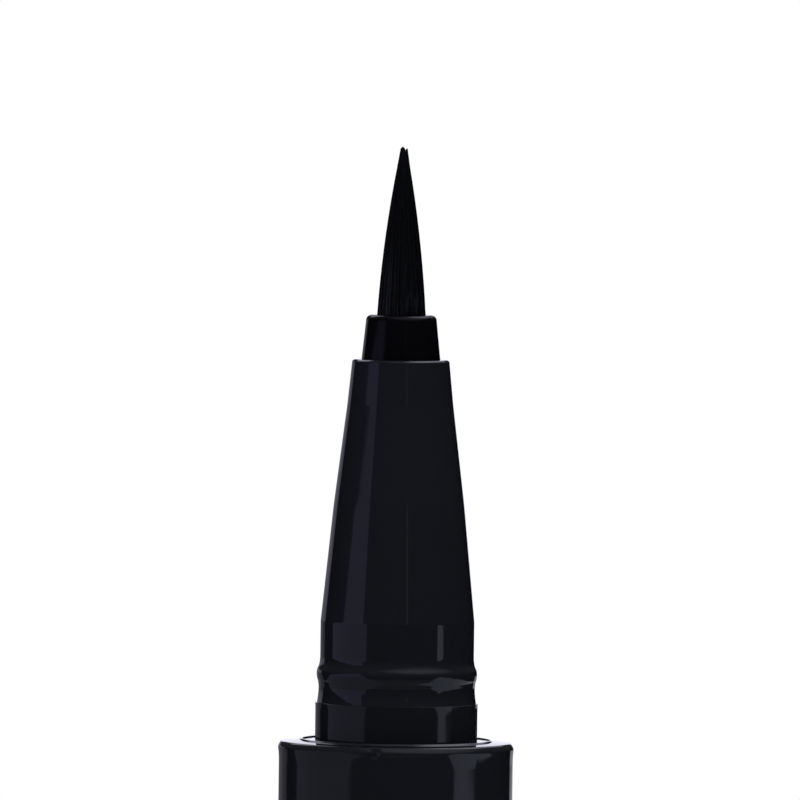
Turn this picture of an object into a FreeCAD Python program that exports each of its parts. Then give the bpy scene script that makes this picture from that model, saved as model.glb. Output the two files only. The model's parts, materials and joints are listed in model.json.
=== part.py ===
"""Liquid eyeliner pen: a brush-tipped, free-ink applicator on its tail, with its cap off beside it.

Millimetres, +Z up along the pen. The origin is the centre of the tail face. The cap stands mouth down
on the same level, at CAP_STAND_X. Radii build outwards from the brush: tuft, holder, nozzle, neck,
barrel, cap. Heights build upwards from the tail to the barrel's rim and on to the brush tip.
"""

import FreeCAD
import Part

import math
import os

# Fits
PRESS_GAP = 0.02  # radial gap of a push fit
SLIDE_GAP = 0.10  # radial gap round a piece that slides
STOP_GAP = 0.05  # gap left at an end stop
EDGE_ROUND = 0.06  # small moulded edges
ROUND_ROOM = 0.49  # largest share of a side that a round takes up

# Brush tuft, with its fused root and the pipe that leads ink into it
TUFT_DIAMETER = 2.16
TUFT_LENGTH = 7.51  # from the holder's mouth to the tip
TUFT_BELLY_HEIGHT = 2.9  # where the sides turn in towards the tip
TUFT_BELLY_DROP = 0.20  # radius lost by then
TUFT_TIP_DIAMETER = 0.43
TUFT_TIP_HEIGHT = 0.40  # of the blunt point
TUFT_ROUND = 32.0  # bulge of the sides
TUFT_GRIP = 7.0  # length held inside the holder
TUFT_ROOT_RISE = 0.20  # fused root, beyond the tuft's radius
TUFT_ROOT_HEIGHT = 0.8
PIPE_DIAMETER = 0.70
PIPE_BORE = 0.40
PIPE_LENGTH = 5.0

# Brush holder
HOLDER_WALL = 0.452
HOLDER_HEIGHT = 1.96  # shown above the nozzle
HOLDER_TAPER = 0.207  # radius lost over that height
HOLDER_ROUND = 0.26
HOLDER_SHANK_LENGTH = 8.5  # inside the nozzle
HOLDER_FLANGE_RISE = 0.55
HOLDER_FLANGE_HEIGHT = 1.2

# Nozzle, from its mouth down to its seat on the neck
NOZZLE_MOUTH_WALL = 0.383
NOZZLE_MOUTH_ROUND = 0.25
NOZZLE_LAND_HEIGHT = 1.95
NOZZLE_LAND_RISE = 0.197
NOZZLE_TAPER_HEIGHT = 4.40
NOZZLE_TAPER_RISE = 0.541
NOZZLE_CONE_HEIGHT = 5.25
NOZZLE_CONE_RISE = 0.524
NOZZLE_CONE_ROUND = 30.0  # where the two tapers run together
NOZZLE_SHANK_HEIGHT = 1.78
NOZZLE_SHANK_ROUND = 0.45
NOZZLE_SPIGOT_LENGTH = 6.5
BEAD_SLOPE_HEIGHT = 0.45  # snap bead, from the shank down to its crest
BEAD_RISE = 0.157  # over the shank's radius
BEAD_HEIGHT = 0.36
BEAD_FALL = 0.026  # radius lost over that height
BEAD_ROUND = 0.35
BEAD_STEP_HEIGHT = 0.10  # steep lower side
BEAD_STEP = 0.054
BEAD_STEP_ROUND = 0.12
GROOVE_HEIGHT = 0.33
GROOVE_FALL = 0.026
GROOVE_ROUND = 1.2
FLARE_HEIGHT = 0.60  # from the neck up to the groove
FLARE_RISE = 0.057

# Collector housing, whose neck shows above the barrel
NECK_STEP = 0.031  # over the bead's radius
NECK_HEIGHT = 1.62
NECK_WALL = 0.60
NECK_ROUND = 0.03
NECK_SHOULDER = 0.565  # ring that shows between the neck and the barrel's bore
HOUSING_WALL = 1.10

# Ink feed
FEED_CORE_DIAMETER = 1.56
FEED_CORE_DIP = 2.0  # hangs below the tank plug
BUSH_LENGTH = 5.0
COLLECTOR_FINS = 22
COLLECTOR_FIN = 0.45
COLLECTOR_GAP = 0.45
COLLECTOR_END = 0.90  # end discs
COLLECTOR_HUB_WALL = 0.50
COLLECTOR_SIDE_GAP = 0.05
INK_SLOT_WIDTH = 0.30
AIR_SLOT_WIDTH = 0.80

# Barrel and tail
BARREL_LENGTH = 90.2
BARREL_WALL = 1.03
BARREL_ROUND = 0.20
RIM_FALL = 0.11  # of the rim's top, towards its outer edge
TAIL_HEIGHT = 2.0  # shows below the barrel
TAIL_ROUND = 0.60
TAIL_SPIGOT_LENGTH = 8.0
TAIL_SPIGOT_WALL = 1.0

# Ink tank
TANK_SIDE_GAP = 0.10
TANK_WALL = 0.65
TANK_FLOOR = 1.0
TANK_DISH = 0.60  # fall of the floor towards its middle
BALL_DIAMETER = 3.0
PLUG_FLANGE_HEIGHT = 1.2
PLUG_BOSS_LENGTH = 4.0
SEAL_SECTION = 0.80
AIR_HOLE_DIAMETER = 0.60

# Cap
CAP_STAND_X = 22.0
CAP_WALL = 0.80
CAP_CROWN = 1.20
CAP_ROUND = 0.90
CAP_FIT_GAP = 0.025  # round the neck
LINER_RECESS = 0.40  # behind the cap's mouth
RIB_GAP = 0.045  # snap rib, off the groove's floor
RIB_HEIGHT = 0.50
INNER_CAP_SEAT = 3.2  # where it seals, above the nozzle's shank
INNER_CAP_WALL = 0.50
INNER_CAP_CHAMFER = 0.15
INNER_CAP_FLANGE = 0.80
INNER_CAP_LIFT = 1.5  # pushed back by the nozzle when the cap is on
TIP_ROOM = 1.5  # over the brush tip
SPRING_LENGTH = 8.0
SPRING_TURNS = 5
SPRING_WIRE = 0.40
SPRING_SIDE_GAP = 0.60
SPRING_BOSS_HEIGHT = 1.2
SPRING_POINTS = 6  # measured on each arc

# Radii, from the brush outwards
TUFT_R = TUFT_DIAMETER / 2
ROOT_R = TUFT_R + TUFT_ROOT_RISE
HOLDER_R = ROOT_R + PRESS_GAP + HOLDER_WALL
HOLDER_FLANGE_R = HOLDER_R + HOLDER_FLANGE_RISE
MOUTH_R = HOLDER_R + PRESS_GAP
NOZZLE_TOP_R = MOUTH_R + NOZZLE_MOUTH_WALL
LAND_R = NOZZLE_TOP_R + NOZZLE_LAND_RISE
TAPER_R = LAND_R + NOZZLE_TAPER_RISE
SHANK_R = TAPER_R + NOZZLE_CONE_RISE
BEAD_R = SHANK_R + BEAD_RISE
BEAD_FOOT_R = BEAD_R - BEAD_FALL
STEP_R = BEAD_FOOT_R - BEAD_STEP
GROOVE_R = STEP_R - GROOVE_FALL
NECK_R = BEAD_R + NECK_STEP
SOCKET_R = NECK_R - NECK_WALL
NOZZLE_BORE_R = HOLDER_FLANGE_R + PRESS_GAP
BORE_R = NECK_R + NECK_SHOULDER
BARREL_R = BORE_R + BARREL_WALL
HOUSING_R = BORE_R - PRESS_GAP
CHAMBER_R = HOUSING_R - HOUSING_WALL
CORE_R = FEED_CORE_DIAMETER / 2
CORE_HOLE_R = CORE_R + PRESS_GAP
TANK_R = BORE_R - TANK_SIDE_GAP
TANK_BORE_R = TANK_R - TANK_WALL
BALL_R = BALL_DIAMETER / 2
CAP_BORE_R = BARREL_R - CAP_WALL
LINER_R = CAP_BORE_R - PRESS_GAP
CAP_FIT_R = NECK_R + CAP_FIT_GAP
SEAT_R = SHANK_R - NOZZLE_CONE_RISE * INNER_CAP_SEAT / NOZZLE_CONE_HEIGHT
INNER_CAP_R = SEAT_R + INNER_CAP_WALL
GUIDE_R = INNER_CAP_R + SLIDE_GAP
SPRING_R = CAP_BORE_R - SPRING_SIDE_GAP - SPRING_WIRE / 2
SPRING_BOSS_R = SPRING_R - SPRING_WIRE / 2 - SLIDE_GAP

# Heights of the pen, from the tail face up
SPIGOT_TOP_Z = TAIL_HEIGHT + TAIL_SPIGOT_LENGTH
RIM_Z = TAIL_HEIGHT + BARREL_LENGTH
NECK_TOP_Z = RIM_Z + NECK_HEIGHT
GROOVE_Z = NECK_TOP_Z + FLARE_HEIGHT
STEP_Z = GROOVE_Z + GROOVE_HEIGHT
BEAD_FOOT_Z = STEP_Z + BEAD_STEP_HEIGHT
BEAD_Z = BEAD_FOOT_Z + BEAD_HEIGHT
SHANK_Z = BEAD_Z + BEAD_SLOPE_HEIGHT
SHANK_TOP_Z = SHANK_Z + NOZZLE_SHANK_HEIGHT
CONE_TOP_Z = SHANK_TOP_Z + NOZZLE_CONE_HEIGHT
TAPER_TOP_Z = CONE_TOP_Z + NOZZLE_TAPER_HEIGHT
NOZZLE_TOP_Z = TAPER_TOP_Z + NOZZLE_LAND_HEIGHT
HOLDER_TOP_Z = NOZZLE_TOP_Z + HOLDER_HEIGHT
TIP_Z = HOLDER_TOP_Z + TUFT_LENGTH
LEDGE_Z = NOZZLE_TOP_Z - HOLDER_SHANK_LENGTH
FLANGE_Z = LEDGE_Z - HOLDER_FLANGE_HEIGHT
ROOT_TOP_Z = HOLDER_TOP_Z - TUFT_GRIP
ROOT_Z = ROOT_TOP_Z - TUFT_ROOT_HEIGHT
NOZZLE_SPIGOT_Z = NECK_TOP_Z - NOZZLE_SPIGOT_LENGTH
COLLECTOR_TOP_Z = NOZZLE_SPIGOT_Z - STOP_GAP
COLLECTOR_PITCH = COLLECTOR_FIN + COLLECTOR_GAP
COLLECTOR_LENGTH = 2 * COLLECTOR_END + COLLECTOR_GAP + COLLECTOR_FINS * COLLECTOR_PITCH
COLLECTOR_Z = COLLECTOR_TOP_Z - COLLECTOR_LENGTH
HOUSING_Z = COLLECTOR_Z - STOP_GAP
TANK_TOP_Z = HOUSING_Z - PLUG_FLANGE_HEIGHT
PLUG_Z = TANK_TOP_Z - PLUG_BOSS_LENGTH
FEED_CORE_Z = PLUG_Z - FEED_CORE_DIP
TANK_FLOOR_Z = SPIGOT_TOP_Z + TANK_FLOOR
DISH_SLOPE = TANK_DISH / TANK_BORE_R
BALL_Z = TANK_FLOOR_Z + BALL_R * math.hypot(1, DISH_SLOPE) + STOP_GAP

# Heights of the cap, from its mouth up; a height on the pen less RIM_Z is where it lies in the closed cap
RIB_Z = GROOVE_Z - RIM_Z
INNER_CAP_Z = SHANK_TOP_Z + INNER_CAP_SEAT - RIM_Z - INNER_CAP_LIFT
INNER_CAP_ROOF_Z = TIP_Z + TIP_ROOM - RIM_Z - INNER_CAP_LIFT
LINER_TOP_Z = INNER_CAP_ROOF_Z - STOP_GAP
SPRING_Z = INNER_CAP_ROOF_Z + INNER_CAP_FLANGE
CAP_ROOF_Z = SPRING_Z + SPRING_LENGTH
CAP_TOP_Z = CAP_ROOF_Z + CAP_CROWN


def rounded(before, corner, after, size):
    """Start, middle and end of the arc that rounds a corner, as large as its two sides leave room for."""
    back = (before - corner).normalize()
    ahead = (after - corner).normalize()
    half = back.getAngle(ahead) / 2
    room = ROUND_ROOM * min(before.distanceToPoint(corner), after.distanceToPoint(corner))
    tangent = min(size / math.tan(half), room)
    radius = tangent * math.tan(half)
    inward = (back + ahead).normalize()
    middle = corner + inward * (radius / math.sin(half) - radius)
    return corner + back * tangent, middle, corner + ahead * tangent


def turned(corners, x=0.0):
    """Solid turned about the upright line at x from a closed outline of (radius, height[, round])."""
    points = [FreeCAD.Vector(x + corner[0], 0, corner[1]) for corner in corners]
    edges = []
    stretches = []
    for i, corner in enumerate(corners):
        size = corner[2] if len(corner) == 3 else 0
        if size:
            arc = rounded(points[i - 1], points[i], points[(i + 1) % len(points)], size)
            stretches.append(arc)
        else:
            stretches.append((points[i],))
    for i, stretch in enumerate(stretches):
        if len(stretch) == 3:
            edges.append(Part.Arc(*stretch).toShape())
        following = stretches[(i + 1) % len(stretches)][0]
        edges.append(Part.LineSegment(stretch[-1], following).toShape())
    face = Part.Face(Part.Wire(edges))
    return face.revolve(FreeCAD.Vector(x, 0, 0), FreeCAD.Vector(0, 0, 1), 360)


def biarc(start, start_way, end, end_way):
    """Two arcs that leave start and reach end along the given unit directions."""
    chord = end - start
    ways = start_way + end_way
    spread = 2 * (1 - start_way.dot(end_way))
    along = chord.dot(ways)
    reach = (math.sqrt(along**2 + spread * chord.dot(chord)) - along) / spread
    middle = (start + start_way * reach + end - end_way * reach) * 0.5
    arcs = []
    for a, knee, b in ((start, start + start_way * reach, middle), (middle, end - end_way * reach, end)):
        inward = (a + b) * 0.5 - knee
        radius = reach * (b - a).Length / 2 / inward.Length
        rise = math.hypot(radius, reach) - radius
        arcs.append(Part.Arc(a, knee + inward.normalize() * rise, b).toShape())
    return arcs


def helix_point(x, radius, low, high, turns, angle):
    """Point and unit direction of a helix that climbs from low to high, at an angle in radians."""
    climb = (high - low) / (turns * 2 * math.pi)
    point = FreeCAD.Vector(x + radius * math.cos(angle), radius * math.sin(angle), low + climb * angle)
    way = FreeCAD.Vector(-radius * math.sin(angle), radius * math.cos(angle), climb).normalize()
    return point, way


def least_gap(points, apart, thickness):
    """Smallest clear gap of a wound wire to itself, between points at least so many steps apart."""
    gaps = [
        a.distanceToPoint(b)
        for i, a in enumerate(points)
        for b in points[i + apart:]
    ]
    return min(gaps) - thickness


def barrel():
    """Outer sleeve, open at both ends."""
    return turned([
        (BORE_R, TAIL_HEIGHT),
        (BARREL_R, TAIL_HEIGHT, EDGE_ROUND),
        (BARREL_R, RIM_Z - RIM_FALL, BARREL_ROUND),
        (BORE_R, RIM_Z, EDGE_ROUND),
    ])


def tail_plug():
    """End plug with a flat foot to stand on and a hollow spigot up the barrel's bore."""
    spigot_r = BORE_R - PRESS_GAP
    return turned([
        (0, 0),
        (BARREL_R, 0, TAIL_ROUND),
        (BARREL_R, TAIL_HEIGHT, EDGE_ROUND),
        (spigot_r, TAIL_HEIGHT),
        (spigot_r, SPIGOT_TOP_Z, EDGE_ROUND),
        (spigot_r - TAIL_SPIGOT_WALL, SPIGOT_TOP_Z),
        (spigot_r - TAIL_SPIGOT_WALL, TAIL_HEIGHT),
        (0, TAIL_HEIGHT),
    ])


def ink_tank():
    """Closed tube that holds the ink; its dished floor brings the ball to the middle."""
    return turned([
        (0, SPIGOT_TOP_Z),
        (TANK_R, SPIGOT_TOP_Z, EDGE_ROUND),
        (TANK_R, TANK_TOP_Z),
        (TANK_BORE_R, TANK_TOP_Z),
        (TANK_BORE_R, TANK_FLOOR_Z + TANK_DISH),
        (0, TANK_FLOOR_Z),
    ])


def mixing_ball():
    """Ball that stirs the ink when the pen is shaken."""
    return Part.makeSphere(BALL_R, FreeCAD.Vector(0, 0, BALL_Z))


def seal_place():
    """Centre-line radius and height of the seal ring on the tank plug's boss."""
    return TANK_BORE_R - PRESS_GAP - SEAL_SECTION / 2, PLUG_Z + PLUG_BOSS_LENGTH / 2


def tank_plug():
    """Bung between tank and collector, with the feed core's hole, an air hole and a seal groove."""
    ring_r, ring_z = seal_place()
    boss_r = TANK_BORE_R - PRESS_GAP
    groove_r = ring_r - SEAL_SECTION / 2 - PRESS_GAP
    groove_half = SEAL_SECTION / 2 + PRESS_GAP
    plug = turned([
        (CORE_HOLE_R, PLUG_Z),
        (boss_r, PLUG_Z, EDGE_ROUND),
        (boss_r, ring_z - groove_half),
        (groove_r, ring_z - groove_half),
        (groove_r, ring_z + groove_half),
        (boss_r, ring_z + groove_half),
        (boss_r, TANK_TOP_Z),
        (TANK_R, TANK_TOP_Z),
        (TANK_R, HOUSING_Z),
        (CORE_HOLE_R, HOUSING_Z),
    ])
    hole_x = (CORE_HOLE_R + groove_r) / 2
    hole = Part.makeCylinder(
        AIR_HOLE_DIAMETER / 2, HOUSING_Z - PLUG_Z, FreeCAD.Vector(hole_x, 0, PLUG_Z)
    )
    return plug.cut(hole)


def tank_seal_ring():
    """Rubber ring that seals the plug in the tank."""
    ring_r, ring_z = seal_place()
    return Part.makeTorus(ring_r, SEAL_SECTION / 2, FreeCAD.Vector(0, 0, ring_z))


def collector_housing():
    """Tube up the barrel's front bore that holds the collector; its neck stands above the rim."""
    return turned([
        (CHAMBER_R, HOUSING_Z),
        (HOUSING_R, HOUSING_Z, EDGE_ROUND),
        (HOUSING_R, RIM_Z, EDGE_ROUND),
        (NECK_R, RIM_Z),
        (NECK_R, NECK_TOP_Z, NECK_ROUND),
        (SOCKET_R, NECK_TOP_Z),
        (SOCKET_R, NOZZLE_SPIGOT_Z),
        (CHAMBER_R, NOZZLE_SPIGOT_Z),
    ])


def collector():
    """Comb of thin fins round a hub: ink that swells out of the tank waits between them."""
    fin_r = CHAMBER_R - COLLECTOR_SIDE_GAP
    hub_r = CORE_HOLE_R + COLLECTOR_HUB_WALL
    outline = [(CORE_HOLE_R, COLLECTOR_Z), (fin_r, COLLECTOR_Z), (fin_r, COLLECTOR_Z + COLLECTOR_END)]
    for i in range(COLLECTOR_FINS):
        fin_z = COLLECTOR_Z + COLLECTOR_END + COLLECTOR_GAP + i * COLLECTOR_PITCH
        outline += [
            (hub_r, fin_z - COLLECTOR_GAP),
            (hub_r, fin_z),
            (fin_r, fin_z),
            (fin_r, fin_z + COLLECTOR_FIN),
        ]
    last_z = COLLECTOR_TOP_Z - COLLECTOR_END
    outline += [
        (hub_r, last_z - COLLECTOR_GAP),
        (hub_r, last_z),
        (fin_r, last_z),
        (fin_r, COLLECTOR_TOP_Z),
        (CORE_HOLE_R, COLLECTOR_TOP_Z),
    ]
    comb = turned(outline)
    for width, side in ((INK_SLOT_WIDTH, 0), (AIR_SLOT_WIDTH, -fin_r)):
        slot = Part.makeBox(fin_r, width, COLLECTOR_LENGTH, FreeCAD.Vector(side, -width / 2, COLLECTOR_Z))
        hub = Part.makeCylinder(hub_r, COLLECTOR_LENGTH, FreeCAD.Vector(0, 0, COLLECTOR_Z))
        comb = comb.cut(slot.cut(hub))
    return comb


def feed_core():
    """Fibre rod that carries ink from the tank through the collector to the tuft's root."""
    return turned([
        (0, FEED_CORE_Z),
        (CORE_R, FEED_CORE_Z, EDGE_ROUND),
        (CORE_R, ROOT_Z, EDGE_ROUND),
        (0, ROOT_Z),
    ])


def relay_bush():
    """Bush pressed up the nozzle behind the holder; it guides the feed core."""
    return turned([
        (CORE_HOLE_R, FLANGE_Z - BUSH_LENGTH),
        (NOZZLE_BORE_R - PRESS_GAP, FLANGE_Z - BUSH_LENGTH, EDGE_ROUND),
        (NOZZLE_BORE_R - PRESS_GAP, FLANGE_Z),
        (CORE_HOLE_R, FLANGE_Z),
    ])


def nozzle():
    """Tapered front section with the snap bead, and a spigot down into the neck."""
    return turned([
        (NOZZLE_BORE_R, NOZZLE_SPIGOT_Z),
        (SOCKET_R - PRESS_GAP, NOZZLE_SPIGOT_Z, EDGE_ROUND),
        (SOCKET_R - PRESS_GAP, NECK_TOP_Z),
        (GROOVE_R + FLARE_RISE, NECK_TOP_Z),
        (GROOVE_R, GROOVE_Z, GROOVE_ROUND),
        (STEP_R, STEP_Z, BEAD_STEP_ROUND),
        (BEAD_FOOT_R, BEAD_FOOT_Z, BEAD_STEP_ROUND),
        (BEAD_R, BEAD_Z, BEAD_ROUND),
        (SHANK_R, SHANK_Z, NOZZLE_SHANK_ROUND),
        (SHANK_R, SHANK_TOP_Z, NOZZLE_SHANK_ROUND),
        (TAPER_R, CONE_TOP_Z, NOZZLE_CONE_ROUND),
        (LAND_R, TAPER_TOP_Z, NOZZLE_SHANK_ROUND),
        (NOZZLE_TOP_R, NOZZLE_TOP_Z, NOZZLE_MOUTH_ROUND),
        (MOUTH_R, NOZZLE_TOP_Z),
        (MOUTH_R, LEDGE_Z),
        (NOZZLE_BORE_R, LEDGE_Z),
    ])


def brush_holder():
    """Collar that grips the tuft; its flange bears on the ledge inside the nozzle."""
    return turned([
        (ROOT_R + PRESS_GAP, FLANGE_Z),
        (HOLDER_FLANGE_R, FLANGE_Z),
        (HOLDER_FLANGE_R, LEDGE_Z),
        (HOLDER_R, LEDGE_Z),
        (HOLDER_R, NOZZLE_TOP_Z),
        (HOLDER_R - HOLDER_TAPER, HOLDER_TOP_Z, HOLDER_ROUND),
        (TUFT_R + PRESS_GAP, HOLDER_TOP_Z),
        (TUFT_R + PRESS_GAP, ROOT_TOP_Z),
        (ROOT_R + PRESS_GAP, ROOT_TOP_Z),
    ])


def bristle_tuft():
    """Pointed bundle of bristles, with a fused root disc and the pipe's channel up its middle."""
    channel_r = PIPE_DIAMETER / 2 + PRESS_GAP
    channel_top_z = ROOT_Z + PIPE_LENGTH + STOP_GAP
    return turned([
        (channel_r, ROOT_Z),
        (ROOT_R, ROOT_Z),
        (ROOT_R, ROOT_TOP_Z),
        (TUFT_R, ROOT_TOP_Z),
        (TUFT_R, HOLDER_TOP_Z),
        (TUFT_R - TUFT_BELLY_DROP, HOLDER_TOP_Z + TUFT_BELLY_HEIGHT, TUFT_ROUND),
        (TUFT_TIP_DIAMETER / 2, TIP_Z - TUFT_TIP_HEIGHT, TUFT_TIP_HEIGHT),
        (0, TIP_Z),
        (0, channel_top_z),
        (channel_r, channel_top_z),
    ])


def ink_pipe():
    """Fine pipe from the feed core into the middle of the tuft."""
    return turned([
        (PIPE_BORE / 2, ROOT_Z),
        (PIPE_DIAMETER / 2, ROOT_Z),
        (PIPE_DIAMETER / 2, ROOT_Z + PIPE_LENGTH),
        (PIPE_BORE / 2, ROOT_Z + PIPE_LENGTH),
    ])


def cap_shell():
    """Outer cap, as wide as the barrel, with a boss under its crown that centres the spring."""
    return turned([
        (CAP_BORE_R, 0, EDGE_ROUND),
        (BARREL_R, 0, BARREL_ROUND),
        (BARREL_R, CAP_TOP_Z, CAP_ROUND),
        (0, CAP_TOP_Z),
        (0, CAP_ROOF_Z - SPRING_BOSS_HEIGHT),
        (SPRING_BOSS_R, CAP_ROOF_Z - SPRING_BOSS_HEIGHT),
        (SPRING_BOSS_R, CAP_ROOF_Z),
        (CAP_BORE_R, CAP_ROOF_Z),
    ], CAP_STAND_X)


def cap_liner():
    """Sleeve inside the cap: it fits the neck, snaps into the groove and guides the inner cap."""
    return turned([
        (CAP_FIT_R, LINER_RECESS, EDGE_ROUND),
        (LINER_R, LINER_RECESS, EDGE_ROUND),
        (LINER_R, LINER_TOP_Z),
        (GUIDE_R, LINER_TOP_Z),
        (GUIDE_R, RIB_Z + RIB_HEIGHT / 2),
        (GROOVE_R + RIB_GAP, RIB_Z, RIB_HEIGHT / 2),
        (CAP_FIT_R, RIB_Z - RIB_HEIGHT / 2),
    ], CAP_STAND_X)


def inner_cap():
    """Sprung cup that seals on the nozzle's cone; its flange stops it on the liner's end."""
    flange_r = CAP_BORE_R - SLIDE_GAP
    boss_z = SPRING_Z + SPRING_BOSS_HEIGHT
    return turned([
        (SEAT_R + INNER_CAP_CHAMFER, INNER_CAP_Z),
        (INNER_CAP_R, INNER_CAP_Z, EDGE_ROUND),
        (INNER_CAP_R, INNER_CAP_ROOF_Z),
        (flange_r, INNER_CAP_ROOF_Z),
        (flange_r, SPRING_Z, EDGE_ROUND),
        (SPRING_BOSS_R, SPRING_Z),
        (SPRING_BOSS_R, boss_z, EDGE_ROUND),
        (0, boss_z),
        (0, INNER_CAP_ROOF_Z),
        (SEAT_R, INNER_CAP_ROOF_Z),
        (SEAT_R, INNER_CAP_Z + INNER_CAP_CHAMFER),
    ], CAP_STAND_X)


def inner_cap_spring():
    """Coil spring between the inner cap and the crown, on quarter-turn biarcs."""
    low = SPRING_Z + SPRING_WIRE / 2 + STOP_GAP
    high = CAP_ROOF_Z - SPRING_WIRE / 2 - STOP_GAP
    quarters = round(SPRING_TURNS * 4)
    places = [
        helix_point(CAP_STAND_X, SPRING_R, low, high, SPRING_TURNS, i * math.pi / 2)
        for i in range(quarters + 1)
    ]
    edges = []
    for (start, start_way), (end, end_way) in zip(places, places[1:]):
        edges += biarc(start, start_way, end, end_way)
    start, start_way = places[0]
    section = Part.Wire(Part.makeCircle(SPRING_WIRE / 2, start, start_way))
    line = [point for edge in edges for point in edge.discretize(SPRING_POINTS)]
    half_turn = SPRING_POINTS * 4
    print("inner_cap_spring: least gap to itself", round(least_gap(line, half_turn, SPRING_WIRE), 2))
    return Part.Wire(edges).makePipeShell([section], True, False)


PIECES = (
    barrel,
    tail_plug,
    ink_tank,
    mixing_ball,
    tank_plug,
    tank_seal_ring,
    collector_housing,
    collector,
    feed_core,
    relay_bush,
    nozzle,
    brush_holder,
    bristle_tuft,
    ink_pipe,
    cap_shell,
    cap_liner,
    inner_cap,
    inner_cap_spring,
)


def main():
    """Writes each piece to its own file, named after it."""
    os.makedirs("parts", exist_ok=True)
    for piece in PIECES:
        shape = piece()
        shape.exportStep(os.path.join("parts", piece.__name__ + ".step"))


main()
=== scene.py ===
"""Liquid eyeliner pen with its cap taken off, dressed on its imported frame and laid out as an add-on.

Metres, +Z up along the pen. The origin is the middle of the tail face, and -Y points at the viewer.
"""

import json
import math

import bmesh
import bpy
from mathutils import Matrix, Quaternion, Vector


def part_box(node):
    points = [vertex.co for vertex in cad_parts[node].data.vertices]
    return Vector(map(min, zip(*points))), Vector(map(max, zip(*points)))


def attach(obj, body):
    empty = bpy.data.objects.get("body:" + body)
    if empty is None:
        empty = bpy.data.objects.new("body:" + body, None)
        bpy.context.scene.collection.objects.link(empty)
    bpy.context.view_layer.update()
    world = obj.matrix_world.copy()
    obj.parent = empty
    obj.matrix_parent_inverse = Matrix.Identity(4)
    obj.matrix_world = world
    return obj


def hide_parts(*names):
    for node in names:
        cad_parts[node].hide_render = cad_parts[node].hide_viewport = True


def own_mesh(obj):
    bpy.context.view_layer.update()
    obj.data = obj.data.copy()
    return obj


bl_info = {
    "name": "Liquid Eyeliner Pen",
    "version": (1, 0, 0),
    "blender": (4, 5, 0),
    "location": "3D View > Sidebar > Eyeliner Pen",
    "description": "Dresses a brush-tipped eyeliner pen and its cap on their packed frame",
    "category": "Object",
}

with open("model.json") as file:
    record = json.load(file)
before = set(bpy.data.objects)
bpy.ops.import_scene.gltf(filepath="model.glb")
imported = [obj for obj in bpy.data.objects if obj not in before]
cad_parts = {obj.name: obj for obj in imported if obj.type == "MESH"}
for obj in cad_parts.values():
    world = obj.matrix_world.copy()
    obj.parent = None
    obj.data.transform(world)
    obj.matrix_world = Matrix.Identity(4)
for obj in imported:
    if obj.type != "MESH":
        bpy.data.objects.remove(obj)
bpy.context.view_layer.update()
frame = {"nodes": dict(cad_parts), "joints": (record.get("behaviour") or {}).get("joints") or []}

MM = 0.001


def reach(node):
    """Foot height, top height and greatest radius of a round node of the frame."""
    low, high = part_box(node)
    return low.z, high.z, (high.x - low.x) / 2


# Heights and radii that the frame gives
BARREL_FOOT, _, BARREL_R = reach("barrel")
TAIL_FOOT, SPIGOT_TOP, _ = reach("tail_plug")
HOUSING_FOOT, NECK_TOP, HOUSING_R = reach("collector_housing")
NOZZLE_FOOT, NOZZLE_TOP, _ = reach("nozzle")
HOLDER_FOOT, HOLDER_TOP, HOLDER_FLANGE_R = reach("brush_holder")
ROOT_FOOT, TUFT_TIP, ROOT_R = reach("bristle_tuft")
CAP_MOUTH, CAP_TOP, CAP_R = reach("cap_shell")
LINER_FOOT, LINER_TOP, LINER_R = reach("cap_liner")
CUP_MOUTH, CUP_TOP, CUP_FLANGE_R = reach("inner_cap")
SPRING_FOOT, SPRING_TOP, _ = reach("inner_cap_spring")
CAP_X = sum(corner.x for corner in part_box("cap_shell")) / 2

# Radii inside the outlines
BARREL_BORE_R = 4.17 * MM
SPIGOT_R = 4.15 * MM
SPIGOT_BORE_R = 3.15 * MM
CHAMBER_R = 3.05 * MM
NECK_R = 3.605 * MM
SOCKET_R = 3.005 * MM
NOZZLE_SPIGOT_R = 2.985 * MM
NOZZLE_BORE_R = 2.322 * MM
FOOT_R = 3.537 * MM
SHANK_R = 3.417 * MM
CONE_TOP_R = 2.893 * MM
LAND_R = 2.352 * MM
NOZZLE_TOP_R = 2.155 * MM
MOUTH_R = 1.772 * MM
HOLDER_R = 1.752 * MM
HOLDER_TOP_R = 1.545 * MM
HOLDER_BORE_R = 1.10 * MM
ROOT_SEAT_R = 1.30 * MM
TUFT_R = 1.08 * MM
PIPE_CHANNEL_R = 0.37 * MM
CAP_BORE_R = 4.40 * MM
CAP_FIT_R = 3.63 * MM
GUIDE_R = 3.698 * MM
RIB_R = 3.513 * MM
CUP_R = 3.598 * MM
CUP_BORE_R = 3.098 * MM
SPRING_BOSS_R = 3.30 * MM
COIL_R = 3.60 * MM

# Heights inside the outlines
RIM = NECK_TOP - 1.62 * MM
RIM_EDGE = RIM - 0.11 * MM
GROOVE_Z = NECK_TOP + 0.60 * MM
SHANK_TOP_Z = NECK_TOP + 3.62 * MM
MOUTH_Z = NOZZLE_TOP + 0.05 * MM
HOLDER_RIM = HOLDER_TOP + 0.045 * MM
CONE_TOP_Z = SHANK_TOP_Z + 5.25 * MM
LAND_Z = CONE_TOP_Z + 4.40 * MM
LEDGE_Z = HOLDER_FOOT + 1.20 * MM
ROOT_TOP_Z = ROOT_FOOT + 0.80 * MM
CHANNEL_TOP_Z = ROOT_FOOT + 5.05 * MM
CORE_DROP = 0.45 * MM
RIB_Z = GROOVE_Z - RIM
RIB_HALF = 0.25 * MM
CAP_ROOF_Z = CAP_TOP - 1.20 * MM
CAP_BOSS_Z = CAP_ROOF_Z - 1.20 * MM
CUP_SEAT_Z = CUP_TOP - 1.20 * MM
CUP_ROOF_Z = CUP_SEAT_Z - 0.80 * MM

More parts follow.
